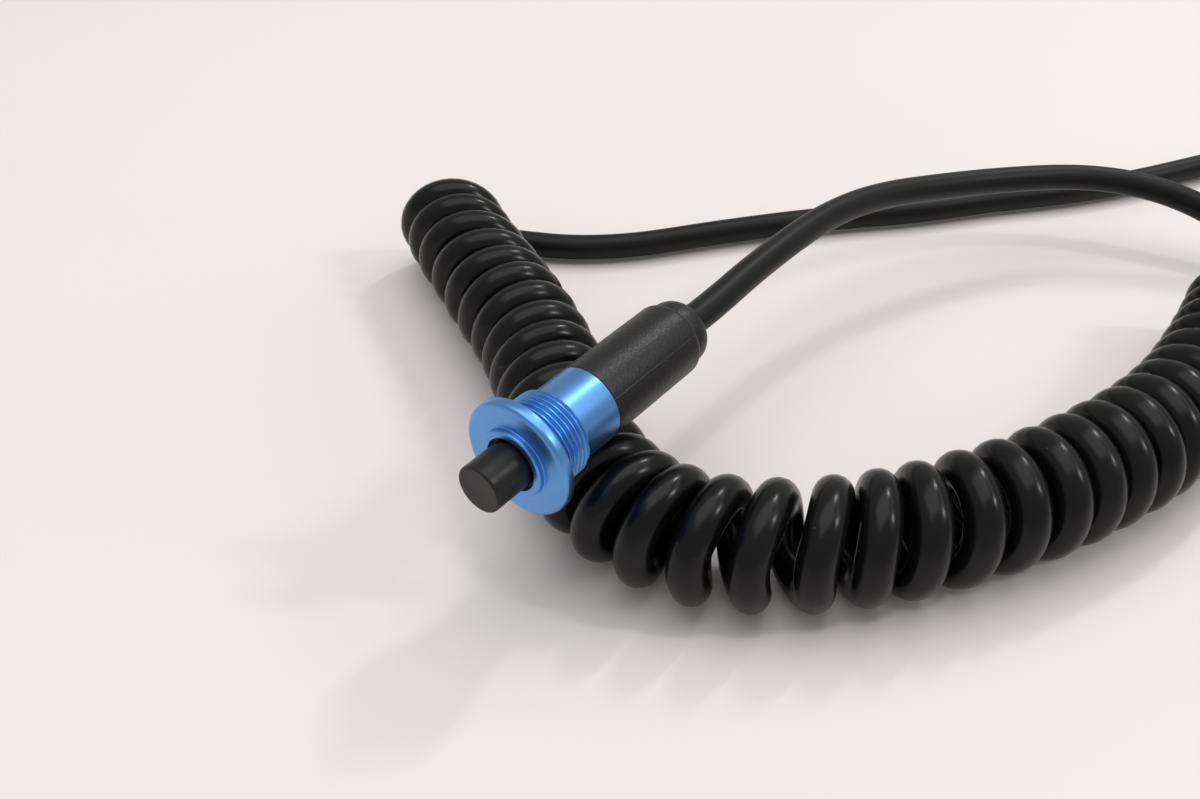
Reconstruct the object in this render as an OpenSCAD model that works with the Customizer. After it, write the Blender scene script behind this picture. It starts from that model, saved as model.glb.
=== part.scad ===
// Electric cable shutter release: a push-button switch in a turned, flanged
// housing, on a curly cord that ends in a jack plug.
//
// The switch lies along X: the button points to -X and the cord leaves to +X.
// The origin is where the switch's axis meets the rear face of its flange.
// The curly cord lies on a flat surface and the switch rests on top of it.

/* [Housing] */
// Diameter of the finger flange
flange_d = 16; // [15:0.5:22]
// Thickness of the finger flange
flange_t = 1.6; // [1.2:0.1:3]
// Major diameter of the threaded neck
neck_d = 12; // [11:0.5:14]
// Length of the threaded neck
neck_l = 5.7; // [4:0.1:8]
// Diameter of the smooth shank, and of the grip behind it
shank_d = 10.6; // [10:0.1:12]
// Length of the smooth shank
shank_l = 6.4; // [5:0.1:12]
// Diameter of the lip around the button
lip_d = 9.4; // [8.6:0.1:11]
// Height of the lip above the flange
lip_h = 0.9; // [0.5:0.1:2]

/* [Button] */
// Diameter of the button
button_d = 6.5; // [5.5:0.1:7]
// How far the button stands out of the flange's front face
button_out = 6.5; // [4:0.1:9]
// How far the button travels
travel = 2; // [1:0.1:2.5]

/* [Grip] */
// Length of the moulded grip
grip_l = 17.7; // [15:0.1:30]
// Diameter of the rounded nose behind the grip
nose_d = 9.4; // [8:0.1:10]
// Length of the rounded nose
nose_l = 3.7; // [3:0.1:6]

/* [Cord] */
// Diameter of the straight cord
cord_d = 4.4; // [3:0.1:5]
// Outer diameter of the curly cord
coil_d = 17.7; // [14:0.1:22]

/* [Plug] */
// Diameter of the plug's handle
plug_d = 7.5; // [6:0.1:10]
// Length of the plug's handle
plug_l = 16; // [12:0.5:24]
// Diameter of the jack
jack_d = 2.5; // [2.5, 3.5]
// Length of the jack from the handle to its end
jack_l = 11; // [11:1:15]

/* [Hidden] */
$fn = 64;
slip = 0.02;                      // radial room of a fit that does not move
run = 0.02;                       // radial room of a sliding fit

// Stations along the switch's axis
front_x = -flange_t;
lip_x = front_x - lip_h;
button_x = front_x - button_out;
shank_x = neck_l;
grip_x = shank_x + shank_l;
spigot_x = grip_x + 4.9;
nose_x = grip_x + grip_l;
exit_x = nose_x + nose_l;

// Inside of the housing
mouth_d = button_d + 0.9;         // hole through the lip
bore_d = mouth_d + 0.6;           // main bore behind the lip
bore_x = -1;
spigot_d = bore_d + 1.4;          // reduced end that the grip is moulded on

// Guide bush, seal and clip
bush_l = 5.2;
bush_end = bore_x + bush_l;
seal_t = 0.7;
clip_t = 0.5;
clip_x = bush_end + 0.15;
clip_d = bore_d - 0.4;
groove_d = button_d - 1.3;
button_end = clip_x + clip_t + 0.75;

// Stem and moving contact
stem_d = 3.2;
stem_x = button_end - 6;
rivet_d = 1.6;                    // thin end of the stem, which holds the disc
disc_x = button_end + 3;
disc_t = 0.35;
disc_d = bore_d - 1;

// Fixed contacts and their carrier
head_t = 0.4;
head_x = disc_x + disc_t + travel + 0.05;
head_d = 2;
contact_y = 2.6;
pin_d = 1.2;
carrier_x = head_x + head_t;
carrier_l = 3.6;
pocket_l = 2.2;
spring_d = 3.2;
spring_wire = 0.35;
ring_x = carrier_x + carrier_l;
ring_t = 0.5;
tag_end = ring_x + 2.4;

// Cord entry inside the grip
cavity_d = bore_d;
cavity_end = nose_x - 4.2;
sleeve_d = cord_d + 1.2;
jacket_x = cavity_end - 3;
ferrule_l = 2.5;
ferrule_d = cord_d + 1.8;
wire_d = 1.2;
wire_y = 0.95;

// The surface that the cord lies on
rest_z = -(coil_d + shank_d / 2 + 0.05);
cord_z = rest_z + cord_d / 2;
coil_z = rest_z + coil_d / 2;
plug_z = rest_z + plug_d / 2;

// Middle of the curly cord, from its far end to its near end
COIL_PATH = [
    [49.5, 62.5], [44.8, 54.2], [40.7, 45.7], [36.8, 37.7], [32.8, 29.6],
    [27.9, 21.5], [22.3, 13.7], [17, 6.2], [13.2, -1.6], [11.9, -9.6],
    [13.3, -17], [17, -23.8], [21.9, -29.6], [27.6, -34.8], [33.9, -39.5],
    [40.6, -43.6], [48, -47.6], [56, -51], [64, -53.8], [72.5, -55.9],
    [81, -57.1], [90, -57.3], [101, -56.8], [112, -55.6]
];

// Middle of the straight cord between the grip and the curly cord
LEAD_PATH = [
    [exit_x, 0, 0], [40, 0, 0], [48, 0.3, 0], [58, 0.5, -0.2],
    [66, 0.5, -0.6], [73.5, 0.2, -1.3], [81.5, -0.8, -2.4],
    [90.4, -3, -4], [98.5, -6.3, -5.4], [106.3, -10.2, -6.6],
    [113.3, -14.6, -7.5], [119.6, -19.5, -8.2], [124.8, -25, -8.9],
    [128.9, -31.5, -9.9], [131.8, -38.8, -11.6], [133.4, -46.8, -14.3],
    [133.6, -55, -17.3], [132.1, -62.8, -19.6], [128.4, -69.4, -20.7],
    [122.7, -73.3, cord_z], [116.5, -73.1, cord_z],
    [112.3, -69.2, cord_z], [110.8, -64, cord_z]
];

// Middle of the straight cord between the curly cord and the plug
TAIL_PATH = [
    [54.6, 58.4, cord_z], [57.4, 54.6, cord_z], [60.6, 48.6, cord_z],
    [65.5, 41.8, cord_z], [71.8, 35.8, cord_z], [79.5, 30.2, cord_z],
    [87.1, 24.6, cord_z], [95.5, 18, cord_z], [104.5, 10.2, cord_z],
    [113.5, 2.2, cord_z], [123.5, -5.4, cord_z], [134, -14, cord_z],
    [144.8, -22, cord_z], [155, -28.2, cord_z], [164, -33.2, cord_z],
    [171.6, -38, cord_z], [176.8, -43.6, cord_z + 0.3],
    [179.5, -49.6, plug_z - 0.5], [180, -54, plug_z], [180, -57, plug_z]
];

plug_at = TAIL_PATH[len(TAIL_PATH) - 1];
boot_l = 9;
handle_x = boot_l;
jack_x = handle_x + plug_l;
band = jack_l / 22;               // width of one insulating band
sleeve_l = jack_l / 2;
contact_l = jack_l * 0.11;

// ---- Helpers ----------------------------------------------------------

// A solid turned about the X axis from an outline of [radius, x] points
module turned(outline) {
    rotate([0, 90, 0])
        rotate_extrude()
            polygon(outline);
}

// A tube about the X axis, from x0 to x1
module tube_x(outer, inner, x0, x1) {
    turned([[inner / 2, x0], [outer / 2, x0], [outer / 2, x1],
            [inner / 2, x1]]);
}

// A plain cylinder about the X axis, from x0 to x1
module bar_x(d, x0, x1, y = 0) {
    translate([x0, y, 0])
        rotate([0, 90, 0])
            cylinder(d = d, h = x1 - x0);
}

// Points of a circular arc, for rounding an outline
function arc(centre, r, from, to, steps = 6) = [
    for (i = [0 : steps])
        let (a = from + (to - from) * i / steps)
        centre + r * [cos(a), sin(a)]
];

// A straight round rod between two points of a horizontal plane
module rod(p, q, d) {
    run_xy = q - p;
    translate([p[0], p[1], 0])
        rotate([0, 0, atan2(run_xy[1], run_xy[0])])
            rotate([0, 90, 0])
                cylinder(d = d, h = norm(run_xy));
}

function unit(v) = v / norm(v);

// Direction of a path at its point i
function heading(path, i) =
    unit(path[min(i + 1, len(path) - 1)] - path[max(i - 1, 0)]);

// One ring of points around a path's point i
function ring(path, i, r, sides) =
    let (along = heading(path, i),
         side = unit(cross([0, 0, 1], along)),
         up = cross(along, side))
    [for (k = [0 : sides - 1])
        path[i] + r * (cos(360 * k / sides) * side
                       + sin(360 * k / sides) * up)];

// A round tube swept along a path, from its point first to its point last
module swept(path, r, sides, first, last) {
    points = [for (i = [first : last]) each ring(path, i, r, sides)];
    rings = last - first + 1;
    walls = [
        for (i = [0 : rings - 2], k = [0 : sides - 1])
            let (a = i * sides + k,
                 b = i * sides + (k + 1) % sides)
            each [[a, b, b + sides], [a, b + sides, a + sides]]
    ];
    start_cap = [for (k = [0 : sides - 1]) sides - 1 - k];
    end_cap = [for (k = [0 : sides - 1]) (rings - 1) * sides + k];
    polyhedron(points, concat([start_cap], [end_cap], walls));
}

// ---- Switch -----------------------------------------------------------

module housing() {
    edge = 0.5;
    color("steelblue")
        difference() {
            turned(concat(
                [[mouth_d / 2, lip_x]],
                arc([lip_d / 2 - 0.2, lip_x + 0.2], 0.2, -90, 0, 3),
                [[lip_d / 2, front_x]],
                arc([flange_d / 2 - edge, front_x + edge], edge, -90, 0),
                [[flange_d / 2, -0.2], [flange_d / 2 - 0.2, 0],
                 [neck_d / 2, 0], [neck_d / 2, shank_x - 0.4],
                 [neck_d / 2 - 0.4, shank_x], [shank_d / 2, shank_x],
                 [shank_d / 2, grip_x], [spigot_d / 2, grip_x],
                 [spigot_d / 2, spigot_x], [bore_d / 2, spigot_x],
                 [bore_d / 2, bore_x], [mouth_d / 2, bore_x]]
            ));
            tube_x(bore_d + 0.56, bore_d - 1,
                   ring_x - slip, ring_x + ring_t + slip);
        }
}

module guide_bush() {
    color("darkgoldenrod")
        tube_x(bore_d - 2 * slip, button_d + 2 * run, bore_x, bush_end);
}

module wiper_seal() {
    color("black")
        tube_x(mouth_d - 2 * slip, button_d + 4 * run,
               bore_x - seal_t, bore_x);
}

module button() {
    edge = 0.5;
    color("dimgray")
        turned(concat(
            [[0, button_x]],
            arc([button_d / 2 - edge, button_x + edge], edge, -90, 0),
            [[button_d / 2, clip_x - slip], [groove_d / 2, clip_x - slip],
             [groove_d / 2, clip_x + clip_t + slip],
             [button_d / 2, clip_x + clip_t + slip],
             [button_d / 2, button_end],
             [stem_d / 2 + slip, button_end], [stem_d / 2 + slip, stem_x],
             [0, stem_x]]
        ));
}

module button_stem() {
    color("ivory")
        turned([[0, stem_x], [stem_d / 2, stem_x], [stem_d / 2, disc_x],
                [rivet_d / 2, disc_x], [rivet_d / 2, disc_x + 0.8],
                [0, disc_x + 0.8]]);
}

module retaining_clip() {
    color("silver")
        difference() {
            tube_x(clip_d, groove_d + 2 * slip, clip_x, clip_x + clip_t);
            translate([clip_x - 1, -1.5, 0])
                cube([3, 3, clip_d]);
        }
}

module contact_disc() {
    color("gold")
        tube_x(disc_d, rivet_d + 2 * slip, disc_x, disc_x + disc_t);
}

// The spring is a plain tube of its own outer and inner diameters
module return_spring() {
    color("silver")
        tube_x(spring_d, spring_d - 2 * spring_wire - 0.4,
               disc_x + disc_t, carrier_x + pocket_l);
}

module contact_carrier() {
    color("saddlebrown")
        difference() {
            bar_x(bore_d - 2 * slip, carrier_x, ring_x);
            bar_x(spring_d + 0.4, carrier_x - 1, carrier_x + pocket_l);
            for (side = [-1, 1])
                bar_x(pin_d + 2 * slip, carrier_x - 1, ring_x + 1,
                      side * contact_y);
        }
}

module fixed_contact(side) {
    color("gold") {
        bar_x(head_d, head_x, carrier_x, side * contact_y);
        bar_x(pin_d, carrier_x, tag_end, side * contact_y);
    }
}

module fixed_contact_left() {
    fixed_contact(1);
}

module fixed_contact_right() {
    fixed_contact(-1);
}

module carrier_ring() {
    color("silver")
        difference() {
            tube_x(bore_d + 0.5, bore_d - 1.2, ring_x, ring_x + ring_t);
            translate([ring_x - 1, -0.8, 0])
                cube([3, 1.6, bore_d]);
        }
}

module wire(side) {
    rod([tag_end + 0.25, side * contact_y], [jacket_x - 0.25, side * wire_y],
        wire_d);
}

module wire_left() {
    color("firebrick")
        wire(1);
}

module wire_right() {
    color("gray")
        wire(-1);
}

module grip() {
    edge = 1;
    color("darkslategray")
        turned(concat(
            [[spigot_d / 2 + slip, grip_x], [shank_d / 2, grip_x]],
            arc([shank_d / 2 - edge, nose_x - edge], edge, 0, 90),
            [[sleeve_d / 2 + slip, nose_x],
             [sleeve_d / 2 + slip, cavity_end], [cavity_d / 2, cavity_end],
             [cavity_d / 2, spigot_x + slip],
             [spigot_d / 2 + slip, spigot_x + slip]]
        ));
}

module nose() {
    edge = 2.3;
    hole = cord_d / 2 + slip;
    color("darkslategray")
        turned(concat(
            [[hole, cavity_end], [sleeve_d / 2, cavity_end],
             [sleeve_d / 2, nose_x], [nose_d / 2, nose_x]],
            arc([nose_d / 2 - edge, exit_x - edge], edge, 0, 90),
            [[hole, exit_x]]
        ));
}

module crimp_ferrule() {
    color("silver")
        tube_x(ferrule_d, cord_d + 2 * slip,
               cavity_end - ferrule_l, cavity_end);
}

module cord_entry() {
    color("black")
        bar_x(cord_d, jacket_x, exit_x);
}

// ---- Cord -------------------------------------------------------------

cord_sides = 10;
coil_sides = 12;
COIL_LINE = [for (p = COIL_PATH) [p[0], p[1], coil_z]];

// A stretch of the curly cord, as a tube of the coil's outer diameter
module coil(first, last) {
    color("black")
        swept(COIL_LINE, coil_d / 2, coil_sides, first, last);
}

module coil_far() {
    coil(0, 6);
}

module coil_under_switch() {
    coil(6, 10);
}

module coil_bend() {
    coil(10, 16);
}

module coil_near() {
    coil(16, len(COIL_PATH) - 1);
}

module switch_lead() {
    color("black")
        swept(LEAD_PATH, cord_d / 2, cord_sides, 0, len(LEAD_PATH) - 1);
}

module tail_lead() {
    color("black")
        swept(TAIL_PATH, cord_d / 2, cord_sides, 0, len(TAIL_PATH) - 1);
}

// ---- Plug -------------------------------------------------------------

// Places a part that is drawn along +X from the end of the tail
module on_plug() {
    translate(plug_at)
        rotate([0, 0, -90])
            children();
}

module plug_boot() {
    color("black")
        on_plug()
            turned([[0, 0], [cord_d / 2 + 0.4, 0], [plug_d / 2 - 0.5, boot_l],
                    [0, boot_l]]);
}

module plug_handle() {
    edge = 0.8;
    color("black")
        on_plug()
            turned(concat(
                [[0, handle_x]],
                arc([plug_d / 2 - edge, handle_x + edge], edge, -90, 0),
                arc([plug_d / 2 - edge, jack_x - edge], edge, 0, 90),
                [[0, jack_x]]
            ));
}

// A plain ring or post of the jack, from x0 to x1 measured from the handle
module jack_piece(d, x0, x1) {
    on_plug()
        bar_x(d, jack_x + x0, jack_x + x1);
}

module jack_sleeve() {
    color("gold")
        jack_piece(jack_d, 0, sleeve_l);
}

module jack_band_rear() {
    color("black")
        jack_piece(jack_d, sleeve_l, sleeve_l + band);
}

module jack_ring() {
    color("gold")
        jack_piece(jack_d, sleeve_l + band, sleeve_l + band + contact_l);
}

module jack_band_front() {
    color("black")
        jack_piece(jack_d, sleeve_l + band + contact_l,
                   sleeve_l + 2 * band + contact_l);
}

module jack_tip() {
    start = jack_x + sleeve_l + 2 * band + contact_l;
    end = jack_x + jack_l;
    r = jack_d / 2;
    color("gold")
        on_plug()
            turned([[0, start], [r, start], [r * 0.68, start + r * 0.5],
                    [r * 0.68, end - r * 1.3], [r, end - r * 0.8],
                    [r * 0.35, end], [0, end]]);
}

// ---- Assembly ---------------------------------------------------------

housing();
guide_bush();
wiper_seal();
button();
button_stem();
retaining_clip();
contact_disc();
return_spring();
contact_carrier();
fixed_contact_left();
fixed_contact_right();
carrier_ring();
wire_left();
wire_right();
grip();
nose();
crimp_ferrule();
cord_entry();
switch_lead();
coil_far();
coil_under_switch();
coil_bend();
coil_near();
tail_lead();
plug_boot();
plug_handle();
jack_sleeve();
jack_band_rear();
jack_ring();
jack_band_front();
jack_tip();
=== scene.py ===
import math

import bmesh
import bpy
import numpy as np
from mathutils import Matrix, Vector
from mathutils.kdtree import KDTree


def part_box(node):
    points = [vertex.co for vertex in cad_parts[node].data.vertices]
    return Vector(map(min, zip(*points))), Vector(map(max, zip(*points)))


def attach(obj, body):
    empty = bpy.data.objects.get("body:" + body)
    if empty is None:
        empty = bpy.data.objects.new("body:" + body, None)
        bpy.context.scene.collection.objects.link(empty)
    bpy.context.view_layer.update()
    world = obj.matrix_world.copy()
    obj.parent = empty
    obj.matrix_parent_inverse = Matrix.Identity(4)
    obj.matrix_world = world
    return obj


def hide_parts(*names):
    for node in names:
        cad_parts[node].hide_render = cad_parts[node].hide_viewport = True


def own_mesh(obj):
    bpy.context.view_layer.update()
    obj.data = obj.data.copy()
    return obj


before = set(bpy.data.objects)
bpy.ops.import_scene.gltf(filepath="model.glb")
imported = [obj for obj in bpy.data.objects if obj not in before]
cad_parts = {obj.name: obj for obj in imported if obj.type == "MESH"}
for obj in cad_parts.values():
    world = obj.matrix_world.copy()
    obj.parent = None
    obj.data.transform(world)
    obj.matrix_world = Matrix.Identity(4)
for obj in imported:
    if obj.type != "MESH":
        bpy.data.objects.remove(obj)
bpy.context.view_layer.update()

MM = 0.001
scene = bpy.context.scene

# ---- Camera -----------------------------------------------------------------

CAMERA_AT = Vector((-0.07886, -0.07536, 0.0998))
CAMERA_DOWN = 40.0
CAMERA_HEADING = 38.87
CAMERA_LENS = 36.6
SENSOR_WIDTH = 36


def place_camera():
    data = bpy.data.cameras.new("camera")
    data.lens = CAMERA_LENS
    data.sensor_width = SENSOR_WIDTH
    data.clip_start = 0.005
    data.clip_end = 10
    camera = bpy.data.objects.new("camera", data)
    camera.location = CAMERA_AT
    camera.rotation_euler = (math.radians(90 - CAMERA_DOWN), 0,
                             math.radians(CAMERA_HEADING - 90))
    scene.collection.objects.link(camera)
    scene.camera = camera


place_camera()

# ---- Helpers: meshes --------------------------------------------------------


def linked(obj):
    scene.collection.objects.link(obj)
    return obj


def smooth_through(knots, values, at):
    """A natural cubic curve through values at knots, read at the stations in at."""
    knots = np.asarray(knots, float)
    values = np.asarray(values, float).reshape(len(knots), -1)
    at = np.asarray(at, float)
    gap = np.diff(knots)
    slope = np.diff(values, axis=0) / gap[:, None]
    count = len(knots)
    bends = np.eye(count)
    right = np.zeros_like(values)
    for i in range(1, count - 1):
        bends[i, i - 1:i + 2] = gap[i - 1], 2 * (gap[i - 1] + gap[i]), gap[i]
        right[i] = 6 * (slope[i] - slope[i - 1])
    bend = np.linalg.solve(bends, right)
    i = np.clip(np.searchsorted(knots, at) - 1, 0, count - 2)
    h = gap[i][:, None]
    after = (at - knots[i])[:, None]
    before = h - after
    return ((bend[i] * before ** 3 + bend[i + 1] * after ** 3) / (6 * h)
            + (values[i] / h - bend[i] * h / 6) * before
            + (values[i + 1] / h - bend[i + 1] * h / 6) * after)


def stations(points):
    """How far along a line each of its points is."""
    steps = np.linalg.norm(np.diff(points, axis=0), axis=1)
    return np.r_[0, np.cumsum(steps)]


def curve_through(points, step):
    """Evenly spaced points of a smooth curve through points."""
    along = stations(points)
    count = max(2, int(round(along[-1] / step)) + 1)
    return smooth_through(along, points, np.linspace(0, along[-1], count))


# ---- The cord: lead, curl and tail in one length -----------------------------

# Middle of the curl, from its far end to its near end, in millimetres
COIL_ROUTE = np.array([
    [49.5, 62.5], [44.8, 54.2], [40.7, 45.7], [36.8, 37.7], [32.8, 29.6],
    [27.9, 21.5], [22.3, 13.7], [17, 6.2], [13.2, -1.6], [11.9, -9.6],
    [13.3, -17], [17, -23.8], [21.9, -29.6], [27.6, -34.8], [33.9, -39.5],
    [40.6, -43.6], [48, -47.6], [56, -51], [64, -53.8], [72.5, -55.9],
    [81, -57.1], [90, -57.3], [101, -56.8], [112, -55.6]])
CORD_Z = -20.85
PLUG_Z = -19.3
LEAD_ROUTE = np.array([
    [33.5, 0, 0], [40, 0, 0], [48, 0.3, 0], [58, 0.5, -0.2],
    [66, 0.5, -0.6], [73.5, 0.2, -1.3], [81.5, -0.8, -2.4],
    [90.4, -3, -4], [98.5, -6.3, -5.4], [106.3, -10.2, -6.6],
    [113.3, -14.6, -7.5], [119.6, -19.5, -8.2], [124.8, -25, -8.9],
    [128.9, -31.5, -9.9], [131.8, -38.8, -11.6], [133.4, -46.8, -14.3],
    [133.6, -55, -17.3], [132.1, -62.8, -19.6], [128.4, -69.4, -20.7],
    [122.7, -73.3, CORD_Z], [116.5, -73.1, CORD_Z],
    [112.3, -69.2, CORD_Z], [110.8, -64, CORD_Z]])
TAIL_ROUTE = np.array([
    [54.6, 58.4, CORD_Z], [57.4, 54.6, CORD_Z], [60.6, 48.6, CORD_Z],
    [65.5, 41.8, CORD_Z], [71.8, 35.8, CORD_Z], [79.5, 30.2, CORD_Z],
    [87.1, 24.6, CORD_Z], [95.5, 18, CORD_Z], [104.5, 10.2, CORD_Z],
    [113.5, 2.2, CORD_Z], [123.5, -5.4, CORD_Z], [134, -14, CORD_Z],
    [144.8, -22, CORD_Z], [155, -28.2, CORD_Z], [164, -33.2, CORD_Z],
    [171.6, -38, CORD_Z], [176.8, -43.6, CORD_Z + 0.3],
    [179.5, -49.6, PLUG_Z - 0.5], [180, -54, PLUG_Z], [180, -57, PLUG_Z]])
# How far along the curl each gap between two turns is, and how many degrees
# the turns lean there
TURN_GAPS = [
    (0, 8), (5.4, 8), (10.8, 10), (17, 11), (23, 5), (28.4, -2),
    (33.8, -8), (39.6, -12), (44.9, -12), (50, -12), (55.1, -11), (60.2, -8),
    (65.8, -3), (71.4, 0), (76.9, 2), (82, 0), (87.7, 3), (94.1, 10),
    (101.3, 11), (108.8, 13), (115, 8), (121.5, 3), (128.2, 0), (134.3, -2),
    (140.5, 0), (145.9, 3), (151.7, 1), (156.7, 7), (161.9, 6), (167.2, 5),
    (172.6, 4), (178, 3), (183.4, 2), (188.8, 1), (194.2, 0), (199.6, 0)]
FIRST_GAP = -1.5
GAP_ANGLE = 120
COIL_Z = -14.2
TABLE_Z = -23.05
WIRE_D = 5.4
LEAD_D = 4.4
TURN_R = (17.7 - WIRE_D) / 2
STEPS_PER_TURN = 36
# The lower half of the turns within BOW_REACH of BOW_AT sits up to BOW further along,
# from BOW_ANGLE round each turn
BOW = 1.9
BOW_AT = 99
BOW_REACH = 26
BOW_ANGLE = math.radians(145)
FIRST_TURN = -1.4167
LAST_TURN = 33.5833
LEAD_TAPER = 16.0
TAIL_TAPER = 9.0
STRAIGHT_STEP = 1.6


def curl_points():
    """Middle of the curly part, from its near end to its far end."""
    turns = np.arange(LAST_TURN, FIRST_TURN, -1 / STEPS_PER_TURN)
    numbers = FIRST_GAP + np.arange(len(TURN_GAPS))
    gaps = smooth_through(numbers, TURN_GAPS, turns)
    along = stations(COIL_ROUTE)
    here = gaps[:, 0]
    angle = np.radians(GAP_ANGLE - 360 * turns)
    near_bow = np.clip(1 - ((here - BOW_AT) / BOW_REACH) ** 2, 0, 1) ** 2
    below = np.maximum(np.sin(angle - BOW_ANGLE), 0)
    here = here + BOW * near_bow * below ** 2
    middle = smooth_through(along, COIL_ROUTE, here)
    ahead = smooth_through(along, COIL_ROUTE, here + 0.05) - middle
    heading = np.arctan2(ahead[:, 1], ahead[:, 0]) - np.radians(gaps[:, 1])
    side = np.c_[-np.sin(heading), np.cos(heading)]
    out = TURN_R * np.cos(angle)[:, None] * side
    return np.c_[middle + out, COIL_Z + TURN_R * np.sin(angle)]


def cord_line():
    """Points of the whole cord in millimetres, and its radius at each."""
    curl = curl_points()
    lead = curve_through(np.r_[LEAD_ROUTE, curl[:4:3]], STRAIGHT_STEP)[:-3]
    tail = curve_through(np.r_[curl[-4::3], TAIL_ROUTE], STRAIGHT_STEP)[3:]
    line = np.r_[lead, curl, tail]
    line[:, 2] = np.maximum(line[:, 2], TABLE_Z + WIRE_D / 2)
    along = stations(line)
    curl_from = along[len(lead)]
    curl_to = along[len(lead) + len(curl) - 1]
    near = np.clip((along - curl_from) / LEAD_TAPER + 1, 0, 1)
    far = np.clip((curl_to - along) / TAIL_TAPER + 1, 0, 1)
    full = near * near * (3 - 2 * near) * far * far * (3 - 2 * far)
    return line, (LEAD_D + (WIRE_D - LEAD_D) * full) / 2


def make_cord():
    line, radius = cord_line()
    data = bpy.data.curves.new("cord", "CURVE")
    data.dimensions = "3D"
    data.bevel_depth = MM
    data.bevel_resolution = 7
    data.use_fill_caps = True
    spline = data.splines.new("POLY")
    spline.points.add(len(line) - 1)
    flat = np.c_[line * MM, np.ones(len(line))]
    spline.points.foreach_set("co", flat.ravel())
    spline.points.foreach_set("radius", radius)
    spline.use_smooth = True
    guide = linked(bpy.data.objects.new("cord_guide", data))
    graph = bpy.context.evaluated_depsgraph_get()
    mesh = bpy.data.meshes.new_from_object(guide.evaluated_get(graph), depsgraph=graph)
    bpy.data.objects.remove(guide)
    finder = KDTree(len(line))
    for i, point in enumerate(line):
        finder.insert(point * MM, i)
    finder.balance()
    nearest = [finder.find(vertex.co)[1] for vertex in mesh.vertices]
    curled = (2 * radius[nearest] - LEAD_D) / (WIRE_D - LEAD_D)
    mesh.attributes.new("curled", "FLOAT", "POINT").data.foreach_set("value", curled)
    mesh.name = "cord"
    return linked(bpy.data.objects.new("cord", mesh)), line * MM


cord, cord_path = make_cord()

# ---- Helpers: node trees ----------------------------------------------------


class Wiring:
    """Adds nodes to a tree and joins them."""

    def __init__(self, tree):
        self.tree = tree

    def add(self, kind, inputs=None, **settings):
        node = self.tree.nodes.new(kind)
        for name, value in settings.items():
            setattr(node, name, value)
        for name, value in (inputs or {}).items():
            if isinstance(value, bpy.types.NodeSocket):
                self.tree.links.new(value, node.inputs[name])
            else:
                node.inputs[name].default_value = value
        return node

    def math(self, operation, a, b=0.0):
        return self.add("ShaderNodeMath", {0: a, 1: b}, operation=operation).outputs[0]

    def span(self, value, low, high, to_low=0.0, to_high=1.0):
        """Value's place from low to high, as a number from to_low to to_high."""
        return self.add("ShaderNodeMapRange", {
            "Value": value, "From Min": low, "From Max": high,
            "To Min": to_low, "To Max": to_high}).outputs[0]


def new_group(name, kind, sockets, results):
    tree = bpy.data.node_groups.new(name, kind)
    for label, form, value in sockets:
        socket = tree.interface.new_socket(label, in_out="INPUT",
                                           socket_type="NodeSocket" + form)
        if value is not None:
            socket.default_value = value
    for label, form in results:
        tree.interface.new_socket(label, in_out="OUTPUT", socket_type="NodeSocket" + form)
    wiring = Wiring(tree)
    return tree, wiring, wiring.add("NodeGroupInput").outputs


# ---- Shape trees ------------------------------------------------------------


def shape_tree(name, sockets):
    return new_group(name, "GeometryNodeTree", sockets + [("Material", "Material", None)],
                     [("Geometry", "Geometry")])


MERGE_DISTANCE = 2e-6
SHARP_ANGLE = 0.55
FLANK_FROM, FLANK_TO = 0.07, 0.44


def close_shape(w, geometry, material):
    """Ends a shape tree: real geometry, smooth but for its sharp edges, in its material."""
    real = w.add("GeometryNodeRealizeInstances", {"Geometry": geometry}).outputs[0]
    joined = w.add("GeometryNodeMergeByDistance", {"Geometry": real, "Distance": MERGE_DISTANCE})
    smooth = w.add("GeometryNodeSetShadeSmooth", {"Geometry": joined.outputs[0]})
    angle = w.add("GeometryNodeInputMeshEdgeAngle").outputs["Unsigned Angle"]
    creased = w.add("GeometryNodeSetShadeSmooth", {
        "Geometry": smooth.outputs[0], "Selection": w.math("GREATER_THAN", angle, SHARP_ANGLE),
        "Shade Smooth": False}, domain="EDGE")
    dressed = w.add("GeometryNodeSetMaterial", {
        "Geometry": creased.outputs[0], "Material": material})
    w.tree.links.new(dressed.outputs[0], w.add("NodeGroupOutput").inputs[0])


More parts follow.
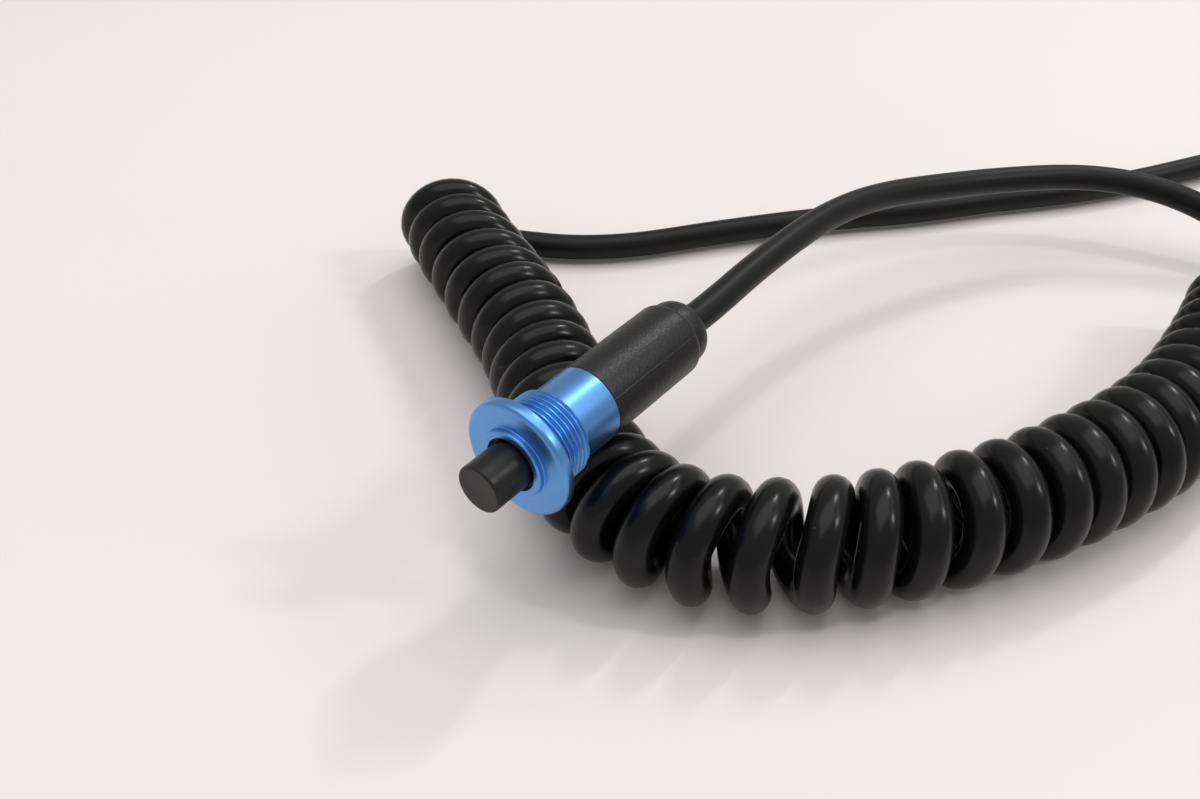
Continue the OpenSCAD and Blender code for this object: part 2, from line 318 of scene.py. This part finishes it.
def turned_tree():
    """A part turned about X from an outline, with an optional thread and mould seam."""
    tree, w, given = shape_tree("turned_part", [
        ("Outline", "Object", None), ("Around", "Int", 96),
        ("Thread From", "Float", 1.0), ("Thread To", "Float", 0.0),
        ("Pitch", "Float", 1.0), ("Depth", "Float", 0.0), ("Crest", "Float", 1.0),
        ("Seam Angle", "Float", 0.0), ("Seam Height", "Float", 0.0),
        ("Seam Width", "Float", 1.0)])
    outline = w.add("GeometryNodeObjectInfo", {"Object": given["Outline"]}).outputs["Geometry"]
    rows = w.add("GeometryNodeAttributeDomainSize", {"Geometry": outline}).outputs["Point Count"]
    grid = w.add("GeometryNodeMeshGrid", {
        "Vertices X": w.math("ADD", given["Around"], 1), "Vertices Y": rows}).outputs["Mesh"]
    index = w.add("GeometryNodeInputIndex").outputs[0]
    place = w.add("GeometryNodeSampleIndex", {
        "Geometry": outline, "Value": w.add("GeometryNodeInputPosition").outputs[0],
        "Index": w.math("MODULO", index, rows)}, data_type="FLOAT_VECTOR").outputs[0]
    split = w.add("ShaderNodeSeparateXYZ", {0: place}).outputs
    along, radius = split[0], split[1]
    turn = w.math("DIVIDE", w.math("FLOOR", w.math("DIVIDE", index, rows)), given["Around"])
    angle = w.math("MULTIPLY", turn, 2 * math.pi)

    travel = w.math("SUBTRACT", w.math("DIVIDE", along, given["Pitch"]), turn)
    groove = w.span(w.math("PINGPONG", travel, 0.5), FLANK_FROM, FLANK_TO)
    cut = w.math("SUBTRACT", given["Crest"], w.math("MULTIPLY", groove, given["Depth"]))
    threaded = w.math("MINIMUM", radius, cut)
    here = w.math("MULTIPLY", w.math("GREATER_THAN", along, given["Thread From"]),
                  w.math("LESS_THAN", along, given["Thread To"]))
    shaped = w.math("ADD", radius, w.math("MULTIPLY", here,
                                          w.math("SUBTRACT", threaded, radius)))

    aside = w.math("PINGPONG", w.math("SUBTRACT", angle, given["Seam Angle"]), math.pi / 2)
    near = w.span(w.math("MULTIPLY", aside, radius), 0.0, given["Seam Width"], 1.0, 0.0)
    final = w.math("ADD", shaped, w.math("MULTIPLY", near, given["Seam Height"]))

    spot = w.add("ShaderNodeCombineXYZ", {
        0: along, 1: w.math("MULTIPLY", final, w.math("COSINE", angle)),
        2: w.math("MULTIPLY", final, w.math("SINE", angle))}).outputs[0]
    moved = w.add("GeometryNodeSetPosition", {"Geometry": grid, "Position": spot})
    close_shape(w, moved.outputs[0], given["Material"])
    return tree


def spring_tree():
    """A round-wire coil spring along X."""
    tree, w, given = shape_tree("coil_spring", [
        ("Start", "Float", 0.0), ("Length", "Float", 1.0), ("Coils", "Float", 5.0),
        ("Coil Radius", "Float", 1.0), ("Wire Radius", "Float", 0.1)])
    spiral = w.add("GeometryNodeCurveSpiral", {
        "Resolution": 40, "Rotations": given["Coils"], "Start Radius": given["Coil Radius"],
        "End Radius": given["Coil Radius"], "Height": given["Length"]}).outputs[0]
    shift = w.add("ShaderNodeCombineXYZ", {0: given["Start"]}).outputs[0]
    lying = w.add("GeometryNodeTransform", {
        "Geometry": spiral, "Rotation": (0, math.pi / 2, 0), "Translation": shift})
    wire = w.add("GeometryNodeCurvePrimitiveCircle", {
        "Resolution": 12, "Radius": given["Wire Radius"]}).outputs[0]
    solid = w.add("GeometryNodeCurveToMesh", {
        "Curve": lying.outputs[0], "Profile Curve": wire, "Fill Caps": True})
    close_shape(w, solid.outputs[0], given["Material"])
    return tree


def ribs_tree():
    """Round ribs in a row along X, on a taper."""
    tree, w, given = shape_tree("ribs_in_a_row", [
        ("Count", "Int", 6), ("Start", "Float", 0.0), ("Step", "Float", 1.0),
        ("First Radius", "Float", 1.0), ("Last Radius", "Float", 1.0),
        ("Rib Share", "Float", 0.15)])
    start = w.add("ShaderNodeCombineXYZ", {0: given["Start"]}).outputs[0]
    step = w.add("ShaderNodeCombineXYZ", {0: given["Step"]}).outputs[0]
    row = w.add("GeometryNodeMeshLine", {
        "Count": given["Count"], "Start Location": start, "Offset": step}).outputs[0]
    hoop = w.add("GeometryNodeCurvePrimitiveCircle", {"Resolution": 64, "Radius": 1.0}).outputs[0]
    section = w.add("GeometryNodeCurvePrimitiveCircle", {
        "Resolution": 12, "Radius": given["Rib Share"]}).outputs[0]
    rib = w.add("GeometryNodeCurveToMesh", {"Curve": hoop, "Profile Curve": section})
    upright = w.add("GeometryNodeTransform", {
        "Geometry": rib.outputs[0], "Rotation": (0, math.pi / 2, 0)}).outputs[0]
    index = w.add("GeometryNodeInputIndex").outputs[0]
    last = w.math("SUBTRACT", given["Count"], 1)
    size = w.add("ShaderNodeMapRange", {
        "Value": index, "From Max": last, "To Min": given["First Radius"],
        "To Max": given["Last Radius"]}).outputs[0]
    placed = w.add("GeometryNodeInstanceOnPoints", {
        "Points": row, "Instance": upright, "Scale": size})
    close_shape(w, placed.outputs[0], given["Material"])
    return tree


def flutes_tree():
    """Slim rounded bars set round X, side by side."""
    tree, w, given = shape_tree("bars_round_a_handle", [
        ("Count", "Int", 20), ("Middle", "Float", 0.0), ("Ring Radius", "Float", 1.0),
        ("Half Length", "Float", 1.0), ("Half Width", "Float", 0.1)])
    ring = w.add("GeometryNodeMeshCircle", {
        "Vertices": given["Count"], "Radius": given["Ring Radius"]}).outputs[0]
    middle = w.add("ShaderNodeCombineXYZ", {0: given["Middle"]}).outputs[0]
    upright = w.add("GeometryNodeTransform", {
        "Geometry": ring, "Rotation": (0, math.pi / 2, 0), "Translation": middle}).outputs[0]
    bead = w.add("GeometryNodeMeshUVSphere", {
        "Segments": 12, "Rings": 12, "Radius": 1.0}).outputs[0]
    size = w.add("ShaderNodeCombineXYZ", {
        0: given["Half Length"], 1: given["Half Width"], 2: given["Half Width"]}).outputs[0]
    bar = w.add("GeometryNodeTransform", {"Geometry": bead, "Scale": size}).outputs[0]
    placed = w.add("GeometryNodeInstanceOnPoints", {"Points": upright, "Instance": bar})
    close_shape(w, placed.outputs[0], given["Material"])
    return tree


TURNED = turned_tree()
SPRING = spring_tree()
RIBS = ribs_tree()
FLUTES = flutes_tree()


def grown(name, tree, **values):
    """A plain mesh object from a shape tree, with its values set by socket."""
    seed = linked(bpy.data.objects.new(name + "_seed", bpy.data.meshes.new(name)))
    modifier = seed.modifiers.new("shape", "NODES")
    modifier.node_group = tree
    for item in tree.interface.items_tree:
        key = item.name.lower().replace(" ", "_")
        if item.in_out == "INPUT" and key in values:
            modifier[item.identifier] = values[key]
    graph = bpy.context.evaluated_depsgraph_get()
    mesh = bpy.data.meshes.new_from_object(seed.evaluated_get(graph), depsgraph=graph)
    seed.modifiers.remove(modifier)
    bpy.data.objects.remove(seed)
    mesh.name = name
    shell = bmesh.new()
    shell.from_mesh(mesh)
    if shell.calc_volume(signed=True) < 0:
        bmesh.ops.reverse_faces(shell, faces=shell.faces)
    shell.to_mesh(mesh)
    shell.free()
    return linked(bpy.data.objects.new(name, mesh))


def softened(points, closed=False, steps=7):
    """An outline in metres from points of x, radius and, for a round corner, its reach."""
    flat = [np.array(p[:2], float) for p in points]
    out = []
    for i, point in enumerate(points):
        here = flat[i]
        if len(point) < 3:
            out.append(here)
            continue
        before = flat[i - 1] - here
        after = flat[(i + 1) % len(flat)] - here
        a = here + point[2] * before / np.linalg.norm(before)
        b = here + point[2] * after / np.linalg.norm(after)
        for t in np.linspace(0, 1, steps):
            out.append((1 - t) ** 2 * a + 2 * t * (1 - t) * here + t * t * b)
    if closed:
        out.append(out[0])
    return [(x * MM, r * MM, 0) for x, r in out]


def turned(name, points, material, closed=False, around=128, **values):
    """A part turned about X from an outline of millimetre points."""
    data = bpy.data.meshes.new(name + "_outline")
    data.from_pydata(softened(points, closed), [], [])
    outline = linked(bpy.data.objects.new(name + "_outline", data))
    part = grown(name, TURNED, outline=outline, around=around, material=material, **values)
    bpy.data.objects.remove(outline)
    return part


# ---- Finishes ---------------------------------------------------------------


def mottle_group():
    """Soft cloudy variation from 0 to 1."""
    tree, w, given = new_group("mottle", "ShaderNodeTree", [
        ("Vector", "Vector", None), ("Scale", "Float", 500.0), ("Detail", "Float", 4.0)],
        [("Value", "Float")])
    noise = w.add("ShaderNodeTexNoise", {
        "Vector": given["Vector"], "Scale": given["Scale"], "Detail": given["Detail"]})
    out = w.add("NodeGroupOutput")
    tree.links.new(w.span(noise.outputs["Fac"], 0.3, 0.7), out.inputs[0])
    return tree


def grain_group():
    """Moulded grain: fine pits over a softer unevenness, as a height."""
    tree, w, given = new_group("moulded_grain", "ShaderNodeTree", [
        ("Vector", "Vector", None), ("Scale", "Float", 5000.0), ("Softness", "Float", 0.5)],
        [("Height", "Float")])
    pits = w.add("ShaderNodeTexVoronoi", {
        "Vector": given["Vector"], "Scale": given["Scale"]}, feature="SMOOTH_F1")
    wide = w.add("ShaderNodeTexNoise", {
        "Vector": given["Vector"], "Scale": w.math("MULTIPLY", given["Scale"], 0.12),
        "Detail": 3.0})
    height = w.math("ADD", pits.outputs["Distance"],
                    w.math("MULTIPLY", wide.outputs["Fac"], given["Softness"]))
    out = w.add("NodeGroupOutput")
    tree.links.new(height, out.inputs[0])
    return tree


def specks_group():
    """Sparse small specks of dust, as a mask."""
    tree, w, given = new_group("dust_specks", "ShaderNodeTree", [
        ("Vector", "Vector", None), ("Scale", "Float", 1500.0), ("Size", "Float", 0.12),
        ("Share", "Float", 0.3)], [("Mask", "Float")])
    cells = w.add("ShaderNodeTexVoronoi", {"Vector": given["Vector"], "Scale": given["Scale"]})
    dot = w.math("LESS_THAN", cells.outputs["Distance"], given["Size"])
    pick = w.add("ShaderNodeSeparateXYZ", {0: cells.outputs["Color"]}).outputs[0]
    chosen = w.math("LESS_THAN", pick, given["Share"])
    out = w.add("NodeGroupOutput")
    tree.links.new(w.math("MULTIPLY", dot, chosen), out.inputs[0])
    return tree


def turning_group():
    """Fine tool rings about X, on faces and on cylinders alike, as a height."""
    tree, w, given = new_group("turning_rings", "ShaderNodeTree", [
        ("Vector", "Vector", None), ("Rings", "Float", 12000.0)],
        [("Height", "Float"), ("Sheen", "Float")])
    split = w.add("ShaderNodeSeparateXYZ", {0: given["Vector"]}).outputs
    level = w.add("ShaderNodeCombineXYZ", {1: split[1], 2: split[2]}).outputs[0]
    radius = w.add("ShaderNodeVectorMath", {0: level}, operation="LENGTH").outputs["Value"]
    across = w.math("MULTIPLY", w.math("ADD", split[0], radius), given["Rings"])
    fine = w.add("ShaderNodeTexNoise", {"W": across, "Scale": 1.0, "Detail": 3.0},
                 noise_dimensions="1D").outputs["Fac"]
    broad = w.add("ShaderNodeTexNoise", {
        "W": w.math("MULTIPLY", across, 0.06), "Scale": 1.0, "Detail": 2.0},
        noise_dimensions="1D").outputs["Fac"]
    out = w.add("NodeGroupOutput")
    tree.links.new(fine, out.inputs[0])
    tree.links.new(broad, out.inputs[1])
    return tree


MOTTLE = mottle_group()
GRAIN = grain_group()
SPECKS = specks_group()
TURNING = turning_group()


def placed_group(w, tree, inputs):
    return w.add("ShaderNodeGroup", inputs, node_tree=tree).outputs


def blended(w, factor, a, b):
    """A colour from a to b by factor. Each is a colour or a socket."""
    mix = w.add("ShaderNodeMix", {0: factor}, data_type="RGBA")
    for socket, value in ((mix.inputs[6], a), (mix.inputs[7], b)):
        if isinstance(value, bpy.types.NodeSocket):
            w.tree.links.new(value, socket)
        else:
            socket.default_value = (*value, 1)
    return mix.outputs[2]


def new_material(name, **sockets):
    data = bpy.data.materials.new(name)
    data.use_nodes = True
    w = Wiring(data.node_tree)
    shader = data.node_tree.nodes["Principled BSDF"]
    for label, value in sockets.items():
        socket = label.replace("_", " ").title().replace("Ior", "IOR")
        shader.inputs[socket].default_value = value
    spot = w.add("ShaderNodeTexCoord").outputs["Object"]
    return data, w, shader, spot


def dressed(data, shader, colour, gloss, bump):
    for source, label in ((colour, "Base Color"), (gloss, "Roughness"), (bump, "Normal")):
        data.node_tree.links.new(source, shader.inputs[label])
    return data


def moulded(name, dark, light, rough, cloud=300.0, grain=5000.0, softness=0.5, depth=0.02,
            dust=0.0, dust_scale=1500.0, **sockets):
    """Plastic or rubber from a mould: cloudy colour, uneven gloss, grain and a little dust."""
    data, w, shader, spot = new_material(name, **sockets)
    cloud = placed_group(w, MOTTLE, {"Vector": spot, "Scale": cloud})["Value"]
    colour = blended(w, cloud, dark, light)
    gloss = w.span(cloud, 0.0, 1.0, rough[0], rough[1])
    if dust:
        mask = placed_group(w, SPECKS, {
            "Vector": spot, "Scale": dust_scale, "Share": dust})["Mask"]
        colour = blended(w, mask, colour, [min(1, v * 4 + 0.03) for v in light])
        gloss = w.math("ADD", gloss, w.math("MULTIPLY", mask, 0.25))
    height = placed_group(w, GRAIN, {
        "Vector": spot, "Scale": grain, "Softness": softness})["Height"]
    bump = w.add("ShaderNodeBump", {
        "Height": height, "Strength": 0.6, "Distance": depth * MM}).outputs[0]
    return dressed(data, shader, colour, gloss, bump)


def machined(name, dark, light, rough, rings=12000.0, depth=0.004, **sockets):
    """Turned metal: tool rings, a cloudy tint and uneven gloss."""
    data, w, shader, spot = new_material(name, metallic=1.0, **sockets)
    rings = placed_group(w, TURNING, {"Vector": spot, "Rings": rings})
    cloud = placed_group(w, MOTTLE, {"Vector": spot, "Scale": 260.0})["Value"]
    colour = blended(w, w.math("MULTIPLY", w.math("ADD", rings["Sheen"], cloud), 0.5),
                     dark, light)
    gloss = w.span(rings["Sheen"], 0.25, 0.75, rough[0], rough[1])
    bump = w.add("ShaderNodeBump", {
        "Height": rings["Height"], "Strength": 0.5, "Distance": depth * MM}).outputs[0]
    return dressed(data, shader, colour, gloss, bump)


ANODISED = machined("blue_anodised_aluminium", (0.10, 0.3, 0.66), (0.125, 0.35, 0.75),
                    (0.33, 0.39), depth=0.0015, coat_weight=0.3, coat_roughness=0.22)
BRASS = machined("turned_brass", (0.62, 0.42, 0.16), (0.74, 0.54, 0.24), (0.2, 0.3))
STEEL = machined("spring_steel", (0.48, 0.47, 0.45), (0.6, 0.59, 0.57), (0.22, 0.34))
CONTACT_BRASS = machined("contact_brass", (0.66, 0.47, 0.2), (0.78, 0.6, 0.3), (0.16, 0.26))
PLATED = machined("plated_contact", (0.78, 0.62, 0.34), (0.88, 0.74, 0.46), (0.1, 0.18))
JACKET = moulded("cord_jacket", (0.0032, 0.003, 0.003), (0.006, 0.0057, 0.0055),
                 (0.21, 0.27), cloud=90.0, grain=900.0, softness=1.2, depth=0.012,
                 dust=0.012, dust_scale=900.0, specular_ior_level=0.23)


STRAIGHT_CORD_DULLNESS = 0.2


def soften_straight_cord(jacket):
    """The curly part is glossier than the straight cord on both sides of it."""
    w = Wiring(jacket.node_tree)
    shader = jacket.node_tree.nodes["Principled BSDF"]
    curled = w.add("ShaderNodeAttribute", attribute_name="curled").outputs["Fac"]
    gloss = w.math("ADD", shader.inputs["Roughness"].links[0].from_socket,
                   w.span(curled, 0.0, 1.0, STRAIGHT_CORD_DULLNESS, 0.0))
    jacket.node_tree.links.new(gloss, shader.inputs["Roughness"])


soften_straight_cord(JACKET)
GRIP_RUBBER = moulded("grip_rubber", (0.0022, 0.0019, 0.0018), (0.006, 0.0052, 0.005),
                      (0.36, 0.46), cloud=2200.0, grain=3600.0, softness=0.6,
                      depth=0.06, dust=0.03, dust_scale=1700.0, specular_ior_level=0.42)
BUTTON_PLASTIC = moulded("button_plastic", (0.006, 0.0056, 0.0054), (0.009, 0.0084, 0.0081),
                         (0.34, 0.42), cloud=700.0, grain=9000.0, depth=0.008,
                         dust=0.012, specular_ior_level=0.3)
STEM_PLASTIC = moulded("stem_plastic", (0.72, 0.69, 0.62), (0.8, 0.78, 0.72), (0.35, 0.45))
CARRIER_RESIN = moulded("carrier_resin", (0.075, 0.03, 0.014), (0.11, 0.048, 0.022),
                        (0.35, 0.5), cloud=1200.0)
SEAL_RUBBER = moulded("seal_rubber", (0.012, 0.012, 0.012), (0.022, 0.021, 0.02), (0.5, 0.65))
RED_SLEEVE = moulded("red_insulation", (0.42, 0.03, 0.025), (0.5, 0.05, 0.04), (0.32, 0.42))
GREY_SLEEVE = moulded("grey_insulation", (0.2, 0.2, 0.205), (0.27, 0.27, 0.275), (0.32, 0.42))
PLUG_PLASTIC = moulded("plug_plastic", (0.012, 0.0118, 0.0115), (0.02, 0.0195, 0.019),
                       (0.3, 0.42), cloud=500.0, grain=6000.0, depth=0.012, dust=0.012)

CAD_FINISHES = {
    "guide_bush": BRASS, "wiper_seal": SEAL_RUBBER, "button_stem": STEM_PLASTIC,
    "retaining_clip": STEEL, "contact_disc": CONTACT_BRASS,
    "contact_carrier": CARRIER_RESIN, "fixed_contact_left": CONTACT_BRASS,
    "fixed_contact_right": CONTACT_BRASS, "carrier_ring": STEEL, "wire_left": RED_SLEEVE,
    "wire_right": GREY_SLEEVE, "crimp_ferrule": STEEL, "cord_entry": JACKET}
for node, finish in CAD_FINISHES.items():
    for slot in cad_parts[node].material_slots:
        slot.material = finish

# ---- The switch -------------------------------------------------------------

SWITCH = "switch_body"
PUSH = "push_button"


def ends(node):
    """Where a CAD node starts and stops along X, in millimetres."""
    low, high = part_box(node)
    return low.x / MM, high.x / MM


def fitted(piece, body, slot, *nodes):
    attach(piece, body)
    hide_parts(*nodes)
    return piece


FLANGE_R = 8.0
FLANGE_FRONT = -1.6
LIP_R = 4.7
MOUTH_R = 3.7
BORE_R = 4.0
BORE_FRONT = -1.0
NECK_R = 6.0
UNDERCUT_R = 5.5
UNDERCUT_END = 0.95
NECK_END = 5.7
SHANK_R = 5.3
SPIGOT_R = 4.7
THREAD_PITCH = 0.75
THREAD_DEPTH = 0.42
ROWS_PER_THREAD = 14
THREAD_RUN_IN = 0.35
THREAD_RUN_OUT = 0.5


def make_housing():
    lip, back = ends("housing")
    grip = ends("grip")[0]
    step = THREAD_PITCH / ROWS_PER_THREAD
    start, stop = UNDERCUT_END + THREAD_RUN_IN, NECK_END - THREAD_RUN_OUT
    crest = [(x, NECK_R) for x in np.arange(start, stop + step / 2, step)]
    rise = [(UNDERCUT_END + i * 0.05, UNDERCUT_R + i * (NECK_R - UNDERCUT_R) / 7)
            for i in range(7)]
    fall = [(stop + 0.05 + i * 0.05, NECK_R - 0.02 - i * 0.05) for i in range(8)]
    points = ([(lip, MOUTH_R, 0.12), (lip, LIP_R, 0.3), (FLANGE_FRONT, LIP_R, 0.16),
               (FLANGE_FRONT, FLANGE_R, 0.75), (0, FLANGE_R, 0.22), (0, UNDERCUT_R, 0.12)]
              + rise + crest + fall
              + [(NECK_END, SHANK_R + 0.24), (NECK_END, SHANK_R, 0.04),
                 (grip, SHANK_R, 0.12), (grip, SPIGOT_R),
                 (back, SPIGOT_R, 0.1), (back, BORE_R, 0.1),
                 (BORE_FRONT, BORE_R), (BORE_FRONT, MOUTH_R)])
    part = turned("blue_housing", points, ANODISED, closed=True, around=224,
                  thread_from=(UNDERCUT_END - 0.01) * MM, thread_to=(NECK_END - 0.01) * MM,
                  pitch=THREAD_PITCH * MM, depth=THREAD_DEPTH * MM, crest=NECK_R * MM)
    return fitted(part, SWITCH, "anodised_aluminium", "housing")


BUTTON_R = 3.25
GROOVE_R = 2.6
STEM_R = 1.62


def make_button():
    front, back = ends("button")
    clip_from, clip_to = ends("retaining_clip")
    stem = ends("button_stem")[0]
    part = turned("black_button", [
        (front + 0.06, 0), (front + 0.05, 1.4), (front, 2.6, 0.3), (front, BUTTON_R, 0.34),
        (clip_from - 0.02, BUTTON_R, 0.06), (clip_from - 0.02, GROOVE_R),
        (clip_to + 0.02, GROOVE_R), (clip_to + 0.02, BUTTON_R, 0.06),
        (back, BUTTON_R, 0.2), (back, STEM_R), (stem, STEM_R), (stem, 0)],
        BUTTON_PLASTIC, around=160)
    return fitted(part, PUSH, "button_plastic", "button")


SLEEVE_R = 2.8
HOLE_R = 2.22
SEAM_ANGLE = math.radians(147)


def make_grip():
    front, back = ends("grip")
    spigot = ends("housing")[1]
    cavity = ends("nose")[0]
    part = turned("rubber_grip", [
        (front, SPIGOT_R + 0.02), (front, SHANK_R, 0.14), (front + 0.5, SHANK_R + 0.02),
        ((front + back) / 2, SHANK_R + 0.015), (back, SHANK_R, 0.95), (back, SLEEVE_R + 0.02),
        (cavity, SLEEVE_R + 0.02), (cavity, BORE_R), (spigot + 0.02, BORE_R),
        (spigot + 0.02, SPIGOT_R + 0.02)],
        GRIP_RUBBER, closed=True, around=360,
        seam_angle=SEAM_ANGLE, seam_height=0.05 * MM, seam_width=0.15 * MM)
    return fitted(part, SWITCH, "grip_rubber", "grip")


def make_nose():
    front, back = ends("nose")
    step = ends("grip")[1]
    part = turned("rubber_nose", [
        (front, HOLE_R), (front, SLEEVE_R), (step, SLEEVE_R), (step, 4.7),
        (step + 0.5, 4.72), (back - 0.35, 4.62, 2.2), (back - 0.1, HOLE_R + 0.6, 0.25),
        (back, HOLE_R + 0.35, 0.12), (back, HOLE_R)],
        GRIP_RUBBER, closed=True, around=240,
        seam_angle=SEAM_ANGLE, seam_height=0.03 * MM, seam_width=0.13 * MM)
    return fitted(part, SWITCH, "grip_rubber", "nose")


SPRING_WIRE_R = 0.175
SPRING_R = 1.6


def make_spring():
    front, back = ends("return_spring")
    part = grown("return_spring_wire", SPRING, start=(front + SPRING_WIRE_R) * MM,
                 length=(back - front - 2 * SPRING_WIRE_R) * MM, coils=5.5,
                 coil_radius=(SPRING_R - SPRING_WIRE_R) * MM,
                 wire_radius=SPRING_WIRE_R * MM, material=STEEL)
    fitted(part, SWITCH, "spring_steel", "return_spring")
    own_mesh(part)
    return part


# ---- The plug ---------------------------------------------------------------

PLUG_AT = Matrix.Translation(TAIL_ROUTE[-1] * MM) @ Matrix.Rotation(
    math.radians(-90), 4, "Z")


BOOT_END = 9.0
HANDLE_END = 25.0
HANDLE_R = 3.75
WAIST_R = 3.5
SLEEVE_END = HANDLE_END + 5.5
REAR_BAND_END = HANDLE_END + 6
RING_END = HANDLE_END + 7.21
FRONT_BAND_END = HANDLE_END + 7.71
JACK_END = HANDLE_END + 11
JACK_R = 1.25
BAND_R = 1.23
TIP_WAIST_R = 0.85


def on_plug(part, slot, *nodes):
    """Sets a part that was made along X onto the end of the tail."""
    part.data.transform(PLUG_AT)
    part.data.update()
    return fitted(part, SWITCH, slot, *nodes) if nodes else part


def make_plug():
    boot = turned("ribbed_boot", [
        (0, 0), (0, 2.45, 0.15), (BOOT_END - 1.2, 2.8), (BOOT_END, 3.2), (BOOT_END, 0)],
        PLUG_PLASTIC, around=96)
    ribs = grown("boot_ribs", RIBS, count=6, start=0.9 * MM, step=1.25 * MM,
                 first_radius=2.42 * MM, last_radius=2.8 * MM, rib_share=0.14,
                 material=PLUG_PLASTIC)
    handle = turned("fluted_handle", [
        (BOOT_END, 0), (BOOT_END, HANDLE_R, 0.5), (BOOT_END + 2, HANDLE_R),
        (BOOT_END + 2.4, WAIST_R, 0.2), (HANDLE_END - 3.4, WAIST_R, 0.2),
        (HANDLE_END - 3, HANDLE_R, 0.2), (HANDLE_END, 3.6, 0.6), (HANDLE_END, 0)],
        PLUG_PLASTIC, around=128)
    flutes = grown("handle_flutes", FLUTES, count=26, middle=15.7 * MM,
                   ring_radius=3.42 * MM, half_length=4.9 * MM, half_width=0.3 * MM,
                   material=PLUG_PLASTIC)
    sleeve = turned("sleeve_contact", [
        (HANDLE_END, 0), (HANDLE_END, JACK_R), (SLEEVE_END, JACK_R, 0.05), (SLEEVE_END, 0)],
        PLATED, around=96)
    rear = turned("rear_insulator", [
        (SLEEVE_END, 0), (SLEEVE_END, BAND_R), (REAR_BAND_END, BAND_R), (REAR_BAND_END, 0)],
        PLUG_PLASTIC, around=96)
    ring = turned("ring_contact", [
        (REAR_BAND_END, 0), (REAR_BAND_END, JACK_R, 0.05), (RING_END, JACK_R, 0.05),
        (RING_END, 0)], PLATED, around=96)
    front = turned("front_insulator", [
        (RING_END, 0), (RING_END, BAND_R), (FRONT_BAND_END, BAND_R), (FRONT_BAND_END, 0)],
        PLUG_PLASTIC, around=96)
    tip = turned("tip_contact", [
        (FRONT_BAND_END, 0), (FRONT_BAND_END, JACK_R, 0.05),
        (HANDLE_END + 8.34, TIP_WAIST_R, 0.2), (HANDLE_END + 9.4, TIP_WAIST_R, 0.2),
        (HANDLE_END + 10, JACK_R, 0.3), (JACK_END, 0.44, 0.2), (JACK_END, 0)],
        PLATED, around=96)
    for rider, slot, node in (
            (boot, "plug_plastic", "plug_boot"), (handle, "plug_plastic", "plug_handle"),
            (sleeve, "plated_contact", "jack_sleeve"), (rear, "plug_plastic", "jack_band_rear"),
            (ring, "plated_contact", "jack_ring"), (front, "plug_plastic", "jack_band_front"),
            (tip, "plated_contact", "jack_tip")):
        on_plug(rider, slot, node)
    for trim in (ribs, flutes):
        on_plug(trim, "plug_plastic")
        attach(trim, SWITCH)
    return [boot, ribs, handle, flutes, sleeve, rear, ring, front, tip]


make_housing()
make_button()
make_grip()
make_nose()
make_spring()
plug = make_plug()

# ---- The cord's finish, on the switch in place of the CAD cord pieces ---------

cord.data.materials.append(JACKET)
fitted(cord, SWITCH, "coil_jacket", "switch_lead", "coil_far", "coil_under_switch",
       "coil_bend", "coil_near", "tail_lead")

# ---- Studio -----------------------------------------------------------------

FLOOR_REACH = 4.0


def make_floor():
    data = bpy.data.meshes.new("table")
    s, z = FLOOR_REACH, TABLE_Z * MM
    data.from_pydata([(-s, -s, z), (s, -s, z), (s, s, z), (-s, s, z)], [], [(0, 1, 2, 3)])
    table = linked(bpy.data.objects.new("table", data))
    finish, w, shader, spot = new_material("white_table", roughness=0.55)
    cloud = placed_group(w, MOTTLE, {"Vector": spot, "Scale": 8.0})["Value"]
    colour = blended(w, cloud, (0.82, 0.775, 0.767), (0.835, 0.79, 0.782))
    finish.node_tree.links.new(colour, shader.inputs["Base Color"])
    data.materials.append(finish)


SKY_STRENGTH = 0.5
LIT_POINT = Vector((0.05, -0.015, -0.01))
# Name, bearing and height in degrees, distance, width and height in metres, watts
LIGHTS = [
    ("overhead", 60, 84, 1.6, (1.8, 1.4), 12.0),
    ("side_panel", -28, 46, 1.6, (0.9, 0.3), 1.0),
    ("side_tube_near", -59, 42, 1.6, (0.1, 0.26), 3.8),
    ("side_tube_far", 2, 46, 1.6, (0.1, 0.26), 3.8)]


def make_light(name, azimuth, elevation, distance, size, power):
    """A soft panel that faces the switch from a bearing and a height in degrees."""
    data = bpy.data.lights.new(name, "AREA")
    data.shape = "RECTANGLE"
    data.size, data.size_y = size
    data.energy = power
    light = bpy.data.objects.new(name, data)
    a, e = math.radians(azimuth), math.radians(elevation)
    away = Vector((math.cos(a) * math.cos(e), math.sin(a) * math.cos(e), math.sin(e)))
    light.location = LIT_POINT + distance * away
    light.rotation_euler = away.to_track_quat("Z", "Y").to_euler()
    linked(light)


def light_studio():
    world = bpy.data.worlds.new("studio")
    scene.world = world
    world.use_nodes = True
    sky = world.node_tree.nodes["Background"]
    sky.inputs["Color"].default_value = (1.0, 0.985, 0.975, 1)
    sky.inputs["Strength"].default_value = SKY_STRENGTH
    for row in LIGHTS:
        make_light(*row)


make_floor()
light_studio()
scene.view_settings.view_transform = "Standard"
